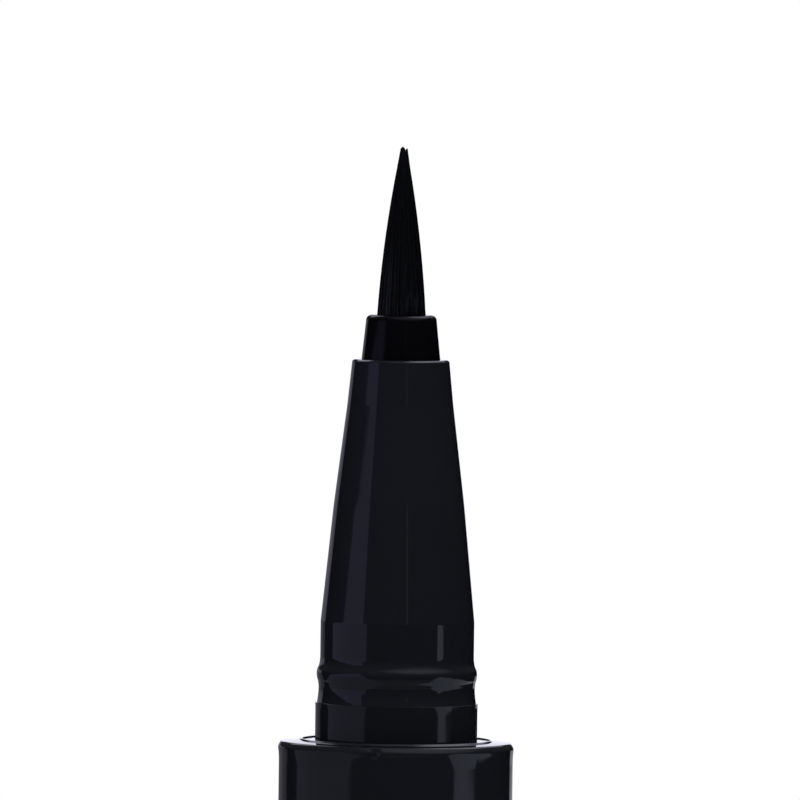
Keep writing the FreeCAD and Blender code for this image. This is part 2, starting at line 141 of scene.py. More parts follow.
# Rounds, chamfers and small steps of the outlines
EDGE_ROUND = 0.06 * MM
COLLAR = 0.06 * MM
COLLAR_CHAMFER = 0.06 * MM
SEAM_ROUND = 0.03 * MM
SEAM_DROP = 0.05 * MM
NECK_ROUND = 0.02 * MM
SHANK_ROUND = 0.45 * MM
CONE_ROUND = 30.0 * MM
MOUTH_ROUND = 0.06 * MM
HOLDER_ROUND = 0.26 * MM
CUP_CHAMFER = 0.15 * MM

# Barrel's lip: inward lean of the side in degrees at heights in mm above its foot
LIP_LEANS = (
    (0.0, 0.0), (0.25, -1.5), (0.45, -4.0), (0.60, -6.5), (0.70, -6.5), (0.735, 0.0), (0.755, 12.0),
    (0.775, 17.0), (0.80, 19.5), (0.82, 22.0), (0.84, 27.0), (0.86, 29.5),
)
LIP_FOOT = 1.0 * MM
RIM_SET_IN = 0.085 * MM

# Nick in that lip: azimuth from the viewer, drop below the rim's edge, half width, half height, depth
NICK_TURN = math.radians(-10.4)
NICK_DROP = 0.28 * MM
NICK_WIDTH = 0.22 * MM
NICK_HEIGHT = 0.24 * MM
NICK_DEPTH = 0.10 * MM

# Neck's top edge: inward lean of the side in degrees at heights in mm above the foot of its flare
NECK_LEANS = ((0.0, 0.0), (0.12, -0.2), (0.24, -0.5), (0.33, -1.8), (0.38, -3.5), (0.43, -4.0))
NECK_FOOT = 0.46 * MM
NECK_SET_OUT = 0.01 * MM

# Bevel round the nozzle's mouth, as (outward from the mouth's edge, below it) from the bottom up
MOUTH_BEVEL = ((0.006 * MM, 0.09 * MM), (-0.09 * MM, 0.02 * MM))

# Groove and snap bead at the nozzle's foot: inward lean in degrees at heights in mm above the neck
FOOT_LEANS = (
    (0.0, 9.5), (0.22, 7.0), (0.40, 5.0), (0.58, 2.0), (0.69, 0.0), (0.75, -5.0), (0.80, -8.5),
    (0.865, -6.0), (0.93, -9.0), (0.975, -20.0), (1.02, -22.0), (1.065, -10.0), (1.15, -8.0),
    (1.22, -4.0), (1.285, 0.0), (1.35, 4.5), (1.42, 8.5), (1.465, 15.0), (1.51, 22.0), (1.55, 25.0),
    (1.60, 23.5), (1.64, 19.0), (1.71, 13.0), (1.80, 8.5), (1.91, 4.5), (2.04, 0.8), (2.13, 0.0),
)
LEAN_STEP = 0.02 * MM

# Tuft: how its radius falls with height, where its two points part, and how its bristles are drawn
TUFT_TAPER = 0.40, 0.48
PARTING_FROM = 0.93
RIGHT_POINT = 0.4
BRISTLE_TAPER = 0.6
BRISTLE_SIDES = 5
BRISTLE_SEED = 7
CORE_SINK = 0.75
CORE_STEPS = 12

# How finely the coil and a round are drawn, and what counts as a sharp turn and as on the axis
COIL_STEPS = 48
WIRE_SIDES = 12
ROUND_STEP = math.radians(7)
ROUND_ROOM = 0.49
KEEPER = 0.03 * MM
SHARP_TURN = math.radians(30)
ON_AXIS = 1e-9

GOLDEN_ANGLE = math.pi * (3 - math.sqrt(5))

# Light panels bent round the pen: name, distance, foot, light and (azimuth in degrees, height) tops.
# The light is one colour, or two (height, colour) pairs that it blends between.
PANELS = (
    (
        "left_panel", 0.6, -0.7, ((0.060, (0.144, 0.146, 0.19)), (0.067, (0.20, 0.195, 0.34))),
        (
            (-134, -0.10), (-120, -0.02), (-113, 0.073), (-90, 0.1496), (-86, 0.1605), (-77, 0.195),
            (-70, 0.203), (-67, 0.24), (-53.1, 0.24), (-53, 0.12), (-47.1, 0.12), (-47, 0.058),
            (-44.6, 0.055), (-44.5, 0.0), (-43, -0.02), (-27, -0.13), (-22, -0.41),
        ),
    ),
    (
        "left_back_panel", 0.6, 0.07, ((0.07, (0.128, 0.126, 0.15)), (0.10, (0.24, 0.235, 0.29))),
        ((-176, 0.15), (-140, 0.15)),
    ),
    ("left_back_low_panel", 0.6, -0.2, (0.135, 0.133, 0.158), ((-176, 0.07), (-150, 0.07))),
    (
        "left_side_low_panel", 0.6, -0.2, (0.098, 0.097, 0.115),
        ((-150, 0.07), (-141.1, 0.07), (-141, 0.066), (-139.5, 0.061), (-136.3, 0.055), (-135.8, 0.03)),
    ),
    (
        "right_panel", 0.3, -0.4, ((0.078, (0.395, 0.425, 0.54)), (0.082, (0.53, 0.56, 0.68))),
        (
            (38.5, -0.155), (58.9, 0.072), (61.4, 0.076), (62.5, 0.0805), (62.6, 0.098), (70, 0.085),
            (73.2, 0.0808), (74.2, 0.0756), (77.7, 0.0744), (82, 0.0728), (84, 0.0715), (86, 0.062),
        ),
    ),
    (
        "right_side_panel", 0.3, -0.4, ((0.030, (0.38, 0.40, 0.48)), (0.064, (0.02, 0.02, 0.025))),
        ((86, 0.062), (92, 0.060), (100, 0.046), (109, 0.034), (117, 0.031), (145, 0.025), (156, 0.025)),
    ),
    ("right_back_panel", 0.6, -0.15, (0.42, 0.42, 0.47), ((153, 0.057), (176, 0.057))),
    (
        "front_low_panel", 0.62, -0.7, ((-0.5, (0.108, 0.11, 0.12)), (-0.1, (0.07, 0.071, 0.078))),
        ((-49, -0.08), (61, -0.08)),
    ),
    (
        "front_strip", 0.8, 0.177, ((0.177, (0.22, 0.205, 0.205)), (0.247, (0.18, 0.175, 0.175))),
        ((13.5, 0.247), (15.5, 0.247)),
    ),
)
PANEL_STEP = 3

# What gloss sees of the surround: its tint, two ceilings as (level, rise at its start, rise where full),
# and soft lights and the backdrop as (level, azimuth, elevation, outer angle, inner angle) in degrees
GLOSS_TINT = (0.93, 0.93, 1.08)
GLOSS_CEILINGS = ((0.04, 0.0, 0.25), (0.05, 0.3, 0.9))
GLOSS_LIGHTS = (
    (0.42, 45, 62, 52, 10), (1.7, 126, 58, 25, 8), (0.9, 154, 34, 14, 7), (1.4, -152, 36, 15, 8),
)
GLOSS_BACKDROP = (1.3, 180, 2, 13, 9)

# Floor and key lamp
FLOOR_SIDES = 128
FLOOR_FADE = 0.35, 0.95
KEY_SIDE = 0.40
KEY_DISTANCE = 0.70
KEY_TURN = math.radians(24)
KEY_RISE = math.radians(58)


# ---------------------------------------------------------------- settings


def length(name, description, default):
    """A length that the user can set."""
    return bpy.props.FloatProperty(
        name=name, description=description, default=default, min=0.0, precision=5, unit="LENGTH"
    )


def share(name, description, default):
    """A number from 0 to 1 that the user can set."""
    return bpy.props.FloatProperty(
        name=name, description=description, default=default, min=0.0, max=1.0, subtype="FACTOR"
    )


def colour(name, description, default):
    """A colour that the user can set."""
    return bpy.props.FloatVectorProperty(
        name=name, description=description, default=default, min=0.0, max=1.0, subtype="COLOR"
    )


class PenSizes(bpy.types.PropertyGroup):
    """Sizes and counts of the shown pieces that can change within the frame."""

    facets: bpy.props.IntProperty(
        name="Facets", description="Flat sides that a turned piece is drawn with", default=288, min=48
    )
    rim_round: length("Rim round", "Round of the barrel's upper edge", 0.22 * MM)
    tail_round: length("Tail round", "Round of the tail's lower edge", 0.60 * MM)
    crown_round: length("Crown round", "Round of the cap's upper edge", 0.90 * MM)
    bristles: bpy.props.IntProperty(
        name="Bristles", description="Filaments in the tuft", default=340, min=20
    )
    bristle_steps: bpy.props.IntProperty(
        name="Bristle points", description="Points along each filament", default=12, min=4
    )
    bristle_thickness: length("Bristle thickness", "Filament diameter at the holder", 0.094 * MM)
    bristle_unevenness: length("Bristle unevenness", "Spread of the filaments' lengths", 0.13 * MM)
    tip_split: length("Tip split", "Half the gap between the tuft's two points", 0.02 * MM)
    spring_turns: bpy.props.FloatProperty(
        name="Spring turns", description="Turns of the coil behind the sealing cup", default=5.0, min=1.0
    )
    spring_wire: length("Spring wire", "Wire diameter of that coil", 0.40 * MM)


class PenColours(bpy.types.PropertyGroup):
    """Colours of the finishes."""

    gloss: colour("Gloss plastic", "Barrel, neck, nozzle and cap", (0.0082, 0.0092, 0.0124))
    holder: colour("Holder plastic", "Collar round the tuft", (0.0018, 0.0016, 0.0030))
    bristle: colour("Bristles", "Ink-wet filaments", (0.0022, 0.0027, 0.0038))
    liner: colour("Liner plastic", "Sleeve inside the cap", (0.012, 0.012, 0.013))
    moulding: colour("Natural moulding", "Pieces that only the ink sees", (0.78, 0.78, 0.75))
    ink: colour("Ink", "Stains on the inner pieces", (0.004, 0.004, 0.005))
    rubber: colour("Rubber", "Seal ring in the tank", (0.018, 0.018, 0.019))
    steel: colour("Steel", "Mixing ball and spring", (0.60, 0.60, 0.62))
    floor: colour("Floor", "Pale ground under the pen", (0.80, 0.80, 0.81))


class StageSettings(bpy.types.PropertyGroup):
    """Camera and light."""

    target: bpy.props.FloatVectorProperty(
        name="Aim", description="Point in the middle of the picture",
        default=(-0.02 * MM, 0.0, 107.265 * MM), precision=5, subtype="TRANSLATION", unit="LENGTH",
    )
    distance: length("Camera distance", "From the camera to that point", 0.85)
    picture_width: length("Picture width", "Width of what the camera sees there", 35.49 * MM)
    elevation: bpy.props.FloatProperty(
        name="Camera elevation", description="Above the horizon", default=math.radians(2.2), subtype="ANGLE"
    )
    roll: bpy.props.FloatProperty(
        name="Camera roll", description="Lean of the picture", default=math.radians(0.736), subtype="ANGLE"
    )
    floor_radius: length("Floor radius", "Where the floor has faded to white", 0.60)
    ambient: share("Ambient", "Light from all round", 0.55)
    key_level: bpy.props.FloatProperty(
        name="Key light", description="Brightness of the lamp overhead", default=3.0, min=0.0
    )


# ---------------------------------------------------------------- node sheets


class Wire:
    """A socket in a node sheet; sums with it add Math nodes to that sheet."""

    def __init__(self, sheet, socket):
        self.sheet = sheet
        self.socket = socket

    def maths(self, operation, *values):
        return self.sheet.node("ShaderNodeMath", {"operation": operation}, dict(enumerate(values)))

    def __add__(self, other):
        return self.maths("ADD", self, other)

    def __radd__(self, other):
        return self.maths("ADD", other, self)

    def __sub__(self, other):
        return self.maths("SUBTRACT", self, other)

    def __rsub__(self, other):
        return self.maths("SUBTRACT", other, self)

    def __mul__(self, other):
        return self.maths("MULTIPLY", self, other)

    def __rmul__(self, other):
        return self.maths("MULTIPLY", other, self)

    def __truediv__(self, other):
        return self.maths("DIVIDE", self, other)

    def __rtruediv__(self, other):
        return self.maths("DIVIDE", other, self)


class Sheet:
    """A node tree that is filled from code."""

    def __init__(self, tree):
        self.tree = tree
        tree.nodes.clear()

    def node(self, kind, settings=None, inputs=None, output=0):
        """Adds a node, sets its settings and then its sockets, and gives one of its outputs."""
        node = self.tree.nodes.new(kind)
        for key, value in (settings or {}).items():
            setattr(node, key, value)
        for key, value in (inputs or {}).items():
            if isinstance(value, Wire):
                self.tree.links.new(value.socket, node.inputs[key])
            else:
                node.inputs[key].default_value = value
        return Wire(self, node.outputs[output]) if len(node.outputs) else node

    def noise(self, place, size, detail=2.0):
        """Soft noise from 0 to 1 with lumps of about the given size."""
        return self.node(
            "ShaderNodeTexNoise", None, {"Vector": place, "Scale": 1 / size, "Detail": detail}
        )

    def stretched(self, place, scale):
        """The place with each axis multiplied."""
        return self.node(
            "ShaderNodeVectorMath", {"operation": "MULTIPLY"}, {0: place, 1: Vector(scale)}
        )

    def ramp(self, value, low, high):
        """0 below low, 1 above high and a smooth rise between them."""
        return self.node(
            "ShaderNodeMapRange",
            {"interpolation_type": "SMOOTHSTEP"},
            {"Value": value, "From Min": low, "From Max": high},
        )

    def blend(self, factor, first, second):
        """Colour between two colours."""
        return self.node(
            "ShaderNodeMix", {"data_type": "RGBA"}, {0: factor, 6: first, 7: second}, output=2
        )


def shade(tint, level=1.0):
    """Four-part colour from a three-part one, brightened by a level."""
    return (*(channel * level for channel in tint), 1.0)


class Finish(Sheet):
    """A material whose nodes read Object coordinates."""

    def __init__(self, name):
        self.material = bpy.data.materials.new(name)
        self.material.use_nodes = True
        super().__init__(self.material.node_tree)
        self.place = self.node("ShaderNodeTexCoord", output="Object")

    def parts(self):
        """The place's X, Y and Z."""
        split = self.tree.nodes.new("ShaderNodeSeparateXYZ")
        self.tree.links.new(self.place.socket, split.inputs[0])
        return [Wire(self, socket) for socket in split.outputs]

    def relief(self, height, depth):
        """Surface direction roughened by a height from 0 to 1 that stands for the given depth."""
        return self.node("ShaderNodeBump", None, {"Strength": 1.0, "Distance": depth, "Height": height})

    def surface(self, base, roughness, normal, **constants):
        """Ends the material in one shader. Constants are named after its sockets."""
        sockets = {"Base Color": base, "Roughness": roughness, "Normal": normal}
        sockets.update({key.replace("_", " "): value for key, value in constants.items()})
        shader = self.node("ShaderNodeBsdfPrincipled", None, sockets)
        self.node("ShaderNodeOutputMaterial", None, {"Surface": shader})
        return self.material


# ---------------------------------------------------------------- finishes


def gloss_plastic(name, tint):
    """High-gloss moulded plastic: a faint ripple from the mould and a thin haze from handling."""
    finish = Finish(name)
    haze = finish.noise(finish.place, 5 * MM, 4.0)
    ripple = finish.noise(finish.stretched(finish.place, (1.0, 1.0, 0.35)), 2.2 * MM, 1.0)
    peel = finish.noise(finish.place, 0.30 * MM, 2.0)
    base = finish.blend(haze, shade(tint, 0.92), shade(tint, 1.08))
    roughness = 0.055 + 0.05 * finish.ramp(haze, 0.35, 0.75)
    normal = finish.relief(ripple + 0.03 * peel, 0.0016 * MM)
    return finish.surface(base, roughness, normal, IOR=1.5)


def satin_plastic(name, tint):
    """Fine-eroded dark plastic with a satin sheen."""
    finish = Finish(name)
    grain = finish.noise(finish.place, 0.05 * MM, 3.0)
    cloud = finish.noise(finish.place, 1.5 * MM, 2.0)
    base = finish.blend(cloud, shade(tint, 0.85), shade(tint, 1.15))
    roughness = 0.12 + 0.08 * cloud
    return finish.surface(base, roughness, finish.relief(grain, 0.0002 * MM), Specular_IOR_Level=0.25)


def wet_bristle(name, tint):
    """Filaments darkened by ink, glossier where they are wetter, with painted highlight streaks along them
    that grow brighter near the holder.
    """
    finish = Finish(name)
    painted_sheen_streak = finish.noise(finish.stretched(finish.place, (1.0, 1.0, 0.04)), 0.08 * MM, 2.0)
    wet = finish.noise(finish.stretched(finish.place, (1.0, 1.0, 0.3)), 0.6 * MM, 2.0)
    # Painted sheen: lighter and darker streaks along the filaments, from 0.4 to 1.8 times the tint, stand
    # in for their highlights.
    base = finish.blend(painted_sheen_streak, shade(tint, 0.4), shade(tint, 1.8))
    # Painted highlights: the brightest streaks turn 3.2 times the tint within 0.5 mm of the holder, fading
    # out 3 mm above it.
    foot = finish.ramp(finish.parts()[2], HOLDER_TOP + 3.0 * MM, HOLDER_TOP + 0.5 * MM)
    base = finish.blend(foot * finish.ramp(painted_sheen_streak, 0.52, 0.68), base, shade(tint, 3.2))
    roughness = 0.32 - 0.14 * wet
    scuff = finish.noise(finish.stretched(finish.place, (1.0, 1.0, 0.2)), 0.02 * MM, 1.0)
    return finish.surface(base, roughness, finish.relief(scuff, 0.0006 * MM), Specular_IOR_Level=0.4)


def natural_moulding(name, tint, ink, stain):
    """Unpainted inner moulding with ink creeping over it; stain is the share that it covers."""
    finish = Finish(name)
    creep = finish.noise(finish.stretched(finish.place, (1.0, 1.0, 0.5)), 1.2 * MM, 5.0)
    cloud = finish.noise(finish.place, 2.5 * MM, 3.0)
    clean = finish.blend(cloud, shade(tint, 0.94), shade(tint))
    covered = finish.ramp(creep, 0.72 - 0.5 * stain, 0.80 - 0.5 * stain)
    base = finish.blend(covered, clean, shade(ink))
    roughness = 0.42 - 0.22 * covered + 0.06 * cloud
    grain = finish.noise(finish.place, 0.08 * MM, 2.0)
    return finish.surface(
        base, roughness, finish.relief(grain, 0.002 * MM), IOR=1.49, Subsurface_Weight=0.12,
        Subsurface_Scale=0.4 * MM,
    )


def seal_rubber(name, tint):
    """Matt rubber with a dusty bloom."""
    finish = Finish(name)
    bloom = finish.noise(finish.place, 0.7 * MM, 4.0)
    base = finish.blend(finish.ramp(bloom, 0.45, 0.8), shade(tint), shade(tint, 2.2))
    grain = finish.noise(finish.place, 0.06 * MM, 3.0)
    return finish.surface(base, 0.55 + 0.2 * bloom, finish.relief(grain, 0.004 * MM), IOR=1.52)


def drawn_steel(name, tint, grain_scale):
    """Polished or drawn steel; the grain is stretched along the axes by its scale."""
    finish = Finish(name)
    lines = finish.noise(finish.stretched(finish.place, grain_scale), 0.05 * MM, 3.0)
    film = finish.noise(finish.place, 0.9 * MM, 3.0)
    base = finish.blend(film, shade(tint, 0.82), shade(tint))
    roughness = 0.16 + 0.14 * lines
    return finish.surface(base, roughness, finish.relief(lines, 0.0008 * MM), Metallic=1.0)


def ink_felt(name, ink):
    """Bonded fibre rod, soaked with ink."""
    finish = Finish(name)
    fibre = finish.noise(finish.stretched(finish.place, (1.0, 1.0, 0.06)), 0.06 * MM, 3.0)
    base = finish.blend(fibre, shade(ink, 0.8), shade(ink, 4.0))
    return finish.surface(base, 0.75 - 0.25 * fibre, finish.relief(fibre, 0.03 * MM), IOR=1.4)


# ---------------------------------------------------------------- shapes


def rounded(before, corner, after, size):
    """Points along the arc that rounds a corner, and the straight bits that keep its sides flat."""
    back, ahead = before - corner, after - corner
    half = back.angle(ahead) / 2
    tangent = min(size / math.tan(half), ROUND_ROOM * min(back.length, ahead.length))
    radius = tangent * math.tan(half)
    back.normalize()
    ahead.normalize()
    centre = corner + (back + ahead).normalized() * (radius / math.sin(half))
    turn = math.pi - 2 * half
    steps = max(3, math.ceil(turn / ROUND_STEP))
    first = corner + back * tangent - centre
    last = corner + ahead * tangent - centre
    points = []
    for i in range(steps + 1):
        part = turn * i / steps
        weights = math.sin(turn - part) / math.sin(turn), math.sin(part) / math.sin(turn)
        points.append(centre + first * weights[0] + last * weights[1])
    room = min((before - corner).length, (after - corner).length) - tangent
    if room > 3 * KEEPER:
        points = [points[0] + back * KEEPER, *points, points[-1] + ahead * KEEPER]
    return points


def drawn_outline(corners):
    """Points of a closed outline of (radius, height[, round]) corners, each with whether it is sharp."""
    places = [Vector(corner[:2]) for corner in corners]
    drawn = []
    for i, corner in enumerate(corners):
        before, here, after = places[i - 1], places[i], places[(i + 1) % len(places)]
        if len(corner) == 3 and corner[2] > 0:
            drawn += [(point, False) for point in rounded(before, here, after, corner[2])]
        else:
            turn = (here - before).angle(after - here)
            drawn.append((here, turn > SHARP_TURN))
    return drawn


def leaning(radius, foot, leans):
    """Side points, from the radius at the foot up, of an outline that leans inward as a table says."""
    leans = [(height * MM, lean) for height, lean in leans]
    points = [(radius, foot + leans[0][0])]
    for (low, low_lean), (high, high_lean) in zip(leans, leans[1:]):
        steps = max(1, round((high - low) / LEAN_STEP))
        for i in range(steps):
            lean = math.radians(low_lean + (high_lean - low_lean) * (i + 0.5) / steps)
            radius -= math.tan(lean) * (high - low) / steps
            points.append((radius, foot + low + (high - low) * (i + 1) / steps))
    return points


def turned(name, corners, facets, x=0.0):
    """Piece turned about the upright line at x from a closed outline."""
    outline = drawn_outline(corners)
    mesh = bmesh.new()
    rings = []
    for point, _ in outline:
        if point.x < ON_AXIS:
            rings.append([mesh.verts.new((x, 0.0, point.y))] * facets)
            continue
        ring = []
        for i in range(facets):
            angle = 2 * math.pi * i / facets
            ring.append(mesh.verts.new((x + point.x * math.cos(angle), point.x * math.sin(angle), point.y)))
        rings.append(ring)
    for lower, upper in zip(rings, rings[1:] + rings[:1]):
        for i in range(facets):
            j = (i + 1) % facets
            loop = list(dict.fromkeys((lower[i], lower[j], upper[j], upper[i])))
            if len(loop) > 2:
                mesh.faces.new(loop).smooth = True
    for ring, (point, sharp) in zip(rings, outline):
        if sharp and point.x > ON_AXIS:
            for i in range(facets):
                mesh.edges.get((ring[i], ring[(i + 1) % facets])).smooth = False
    bmesh.ops.recalc_face_normals(mesh, faces=mesh.faces)
    data = bpy.data.meshes.new(name)
    mesh.to_mesh(data)
    mesh.free()
    piece = bpy.data.objects.new(name, data)
    bpy.context.scene.collection.objects.link(piece)
    return piece


def press_nick(piece, azimuth, height, width, tall, depth):
    """Pushes a small nick into a turned piece at an azimuth from the viewer."""
    for vert in piece.data.vertices:
        outward = Vector((vert.co.x, vert.co.y, 0))
        turn = math.atan2(outward.x, -outward.y) - azimuth
        across = turn * outward.length / width
        along = (vert.co.z - height) / tall
        if outward.length > BARREL_BORE_R and abs(across) < 1 and abs(along) < 1:
            fall = (1 - across**2) * (1 - along**2)
            vert.co -= outward.normalized() * depth * fall


def placed(piece, node, body, material):
    """Gives a made piece its material, and puts it in the node's stead on that body."""
    if not piece.data.polygons:
        raise RuntimeError(f"{piece.name} came out empty")
    piece.data.materials.clear()
    piece.data.materials.append(material)
    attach(piece, body)
    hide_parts(node)
    return piece


def dressed(node, material):
    """Gives a node of the frame that stays in sight its finish."""
    piece = frame["nodes"][node]
    if not piece.material_slots:
        piece.data.materials.append(material)
    for slot in piece.material_slots:
        slot.material = material


# ---------------------------------------------------------------- node-grown pieces


class Growth(Sheet):
    """A node group that grows one mesh from named inputs."""

    def __init__(self, name):
        self.group = bpy.data.node_groups.new(name, "GeometryNodeTree")
        super().__init__(self.group)
        self.group.interface.new_socket("Geometry", in_out="OUTPUT", socket_type="NodeSocketGeometry")
        self.values = {}

    def inputs(self, **named):
        """Adds an input for each named value, and gives their wires."""
        kinds = {int: "NodeSocketInt", float: "NodeSocketFloat"}
        for name, value in named.items():
            socket = self.group.interface.new_socket(
                name.replace("_", " ").capitalize(), in_out="INPUT", socket_type=kinds[type(value)]
            )
            self.values[socket.identifier] = value
        source = self.tree.nodes.new("NodeGroupInput")
        return [Wire(self, socket) for socket in source.outputs][: len(named)]

    def swept(self, curve, radius, sides, scale):
        """Round bar along a curve."""
        circle = self.node(
            "GeometryNodeCurvePrimitiveCircle", None, {"Resolution": sides, "Radius": radius}
        )
        return self.node(
            "GeometryNodeCurveToMesh",
            None,
            {"Curve": curve, "Profile Curve": circle, "Scale": scale, "Fill Caps": True},
        )

    def grown(self, name, mesh, material):
        """Ends the group in that mesh and keeps what it grows as a plain mesh."""
        smooth = self.node("GeometryNodeSetShadeSmooth", None, {"Geometry": mesh})
        real = self.node("GeometryNodeRealizeInstances", None, {"Geometry": smooth})
        painted = self.node("GeometryNodeSetMaterial", None, {"Geometry": real, "Material": material})
        self.node("NodeGroupOutput", None, {"Geometry": painted})
        piece = bpy.data.objects.new(name, bpy.data.meshes.new(name + "_seed"))
        bpy.context.scene.collection.objects.link(piece)
        modifier = piece.modifiers.new(name, "NODES")
        modifier.node_group = self.group
        for identifier, value in self.values.items():
            modifier[identifier] = value
        depsgraph = bpy.context.evaluated_depsgraph_get()
        grown = bpy.data.meshes.new_from_object(piece.evaluated_get(depsgraph), depsgraph=depsgraph)
        piece.modifiers.remove(modifier)
        seed = piece.data
        piece.data = grown
        bpy.data.meshes.remove(seed)
        grown.name = name
        return piece


def tuft_share(height):
    """Share of its radius that the tuft has left at a share of its height."""
    return 1 - TUFT_TAPER[0] * height - TUFT_TAPER[1] * height * height


def bristle_bundle(sizes, material):
    """Tapered filaments in a golden-angle layout that close to a point split in two."""
    growth = Growth("bristle_bundle")
    count, steps, root, mouth, tip, radius, thickness, hollow, uneven, split, seed = growth.inputs(
        bristles=sizes.bristles,
        steps=sizes.bristle_steps,
        root_height=ROOT_TOP_Z,
        mouth_height=HOLDER_TOP,
        tip_height=TUFT_TIP,
        tuft_radius=HOLDER_BORE_R,
        thickness=sizes.bristle_thickness,
        hollow_share=PIPE_CHANNEL_R / TUFT_R,
        unevenness=sizes.bristle_unevenness,
        tip_split=sizes.tip_split,
        seed=BRISTLE_SEED,
    )
    index = growth.node("GeometryNodeInputIndex")
    ratio = index / steps
    number = ratio.maths("FLOOR", ratio)
    step = index - number * steps
    hidden = step.maths("LESS_THAN", step, 0.5)
    shown = step.maths("MAXIMUM", (step - 1) / (steps - 2), 0.0)
    rank = (number + 0.5) / count
    spread = hollow * hollow + (1 - hollow * hollow) * rank
    outward = spread.maths("SQRT", spread)
    turn = number * GOLDEN_ANGLE
    luck = growth.node(
        "FunctionNodeRandomValue", {"data_type": "FLOAT"}, {"ID": number, "Seed": seed}, output=1
    )
    narrowing = tuft_share(shown)
    reach_out = outward * (radius - thickness / 2) * narrowing
    cosine = turn.maths("COSINE", turn)
    side = cosine * outward
    right = side.maths("GREATER_THAN", side, RIGHT_POINT)
    parting = growth.ramp(shown, PARTING_FROM, 1.0)
    x = cosine * reach_out + split * (2.0 * right - 0.5) * parting + 0.5 * split * shown
    y = turn.maths("SINE", turn) * reach_out
    # The left point is longest a little left of the middle, and the shorter right one near its side
    left_drop = side.maths("ABSOLUTE", side + 0.3)
    right_drop = 0.6 + 1.2 * side.maths("ABSOLUTE", side - 0.85)
    shorter = uneven * (left_drop + right * (right_drop - left_drop) + 0.35 * luck)
    z = mouth + shown * (tip - mouth - shorter) - hidden * (mouth - root)
    points = growth.node(
        "GeometryNodePoints",
        None,
        {
            "Count": count * steps,
            "Position": growth.node("ShaderNodeCombineXYZ", None, {"X": x, "Y": y, "Z": z}),
            "Radius": 1 - BRISTLE_TAPER * shown,
        },
    )
    curves = growth.node(
        "GeometryNodePointsToCurves", None, {"Points": points, "Curve Group ID": number, "Weight": step}
    )
    bar = growth.swept(curves, thickness / 2, BRISTLE_SIDES, growth.node("GeometryNodeInputRadius"))
    return growth.grown("bristles", bar, material)


def coil(sizes, material):
    """Spring wire wound between the sealing cup and the cap's crown."""
    growth = Growth("spring_coil")
    turns, radius, wire, low, high, x = growth.inputs(
        turns=sizes.spring_turns,
        coil_radius=COIL_R,
        wire=sizes.spring_wire,
        low=SPRING_FOOT,
        high=SPRING_TOP,
        middle=CAP_X,
    )
    spiral = growth.node(
        "GeometryNodeCurveSpiral",
        None,
        {
            "Resolution": COIL_STEPS,
            "Rotations": turns,
            "Start Radius": radius,
            "End Radius": radius,
            "Height": high - low - wire,
            "Reverse": True,
        },
    )
    foot = growth.node("ShaderNodeCombineXYZ", None, {"X": x, "Z": low + wire / 2})
    standing = growth.node("GeometryNodeTransform", None, {"Geometry": spiral, "Translation": foot})
    return growth.grown("spring_coil", growth.swept(standing, wire / 2, WIRE_SIDES, 1.0), material)


# ---------------------------------------------------------------- operators


class EYELINER_OT_sleeve(bpy.types.Operator):
    """Turns the barrel and the tail plug that closes it"""

    bl_idname = "eyeliner.sleeve"
    bl_label = "Barrel and Tail"

    def execute(self, context):
        sizes = context.scene.pen_sizes
        gloss = gloss_plastic("barrel_gloss", context.scene.pen_colours.gloss)
        barrel = turned(
            "barrel_sleeve",
            [
                (BARREL_BORE_R, BARREL_FOOT),
                (BARREL_R, BARREL_FOOT, EDGE_ROUND),
                *leaning(BARREL_R, RIM_EDGE - LIP_FOOT, LIP_LEANS),
                (BARREL_R - RIM_SET_IN, RIM_EDGE, sizes.rim_round),
                (BARREL_BORE_R + COLLAR + COLLAR_CHAMFER, RIM - COLLAR_CHAMFER),
                (BARREL_BORE_R + COLLAR, RIM, SEAM_ROUND),
                (BARREL_BORE_R, RIM),
            ],
            sizes.facets,
        )
        press_nick(barrel, NICK_TURN, RIM_EDGE - NICK_DROP, NICK_WIDTH, NICK_HEIGHT, NICK_DEPTH)
        placed(barrel, "barrel", "pen", gloss)
        tail = turned(
            "tail_end",
            [
                (0, TAIL_FOOT),
                (BARREL_R, TAIL_FOOT, sizes.tail_round),
                (BARREL_R, BARREL_FOOT, EDGE_ROUND),
                (SPIGOT_R, BARREL_FOOT),
                (SPIGOT_R, SPIGOT_TOP, EDGE_ROUND),
                (SPIGOT_BORE_R, SPIGOT_TOP),
                (SPIGOT_BORE_R, BARREL_FOOT),
                (0, BARREL_FOOT),
            ],
            sizes.facets,
        )
        placed(tail, "tail_plug", "pen", gloss)
        return {"FINISHED"}


